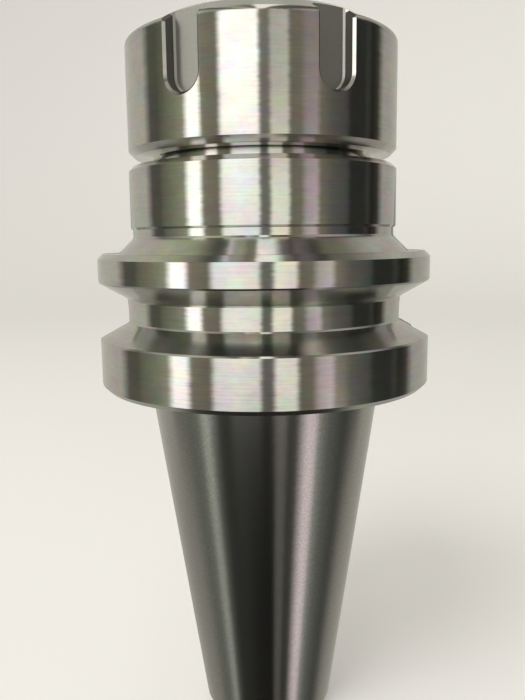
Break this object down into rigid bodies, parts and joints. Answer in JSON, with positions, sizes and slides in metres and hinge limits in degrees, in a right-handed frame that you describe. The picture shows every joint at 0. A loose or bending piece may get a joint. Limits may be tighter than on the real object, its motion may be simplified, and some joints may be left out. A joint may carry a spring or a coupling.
{
  "type": "collet chuck holder",
  "caption": "Steel collet chuck with a 7:24 taper shank, V-grooved flange, slotted clamping nut, slit collet and stop screw.",
  "frame": {"origin": "on the axis at the gauge line of the taper", "axes": "+Z along the axis towards the nose, +X and -X through the two drive keyways"},
  "size_m": [0.063, 0.063, 0.1319],
  "materials": {
    "holder_steel": "fine turned steel, the taper ground",
    "nut_steel": "fine turned steel",
    "collet_steel": "ground spring steel",
    "screw_steel": "blackened steel"
  },
  "bodies": {
    "holder": {"holder_body": "holder_steel"},
    "collet": {"collet": "collet_steel"},
    "nut": {"clamping_nut": "nut_steel"},
    "stop": {"stop_screw": "screw_steel"}
  },
  "joints": [
    {"name": "collet_travel", "type": "slide", "parent": "holder", "child": "collet", "axis": [0, 0, 1], "range_m": [0, 0.009]},
    {"name": "nut_turn", "type": "hinge", "parent": "collet", "child": "nut", "pos_m": [0, 0, 0.05], "axis": [0, 0, 1], "range_deg": [0, 2159.9]},
    {"name": "stop_screw_travel", "type": "slide", "parent": "holder", "child": "stop", "axis": [0, 0, 1], "range_m": [-0.0025, 0.005]}
  ],
  "couplings": [
    {"joint": "collet_travel", "follows": "nut_turn", "m_per_rad": 0.00023873}
  ]
}
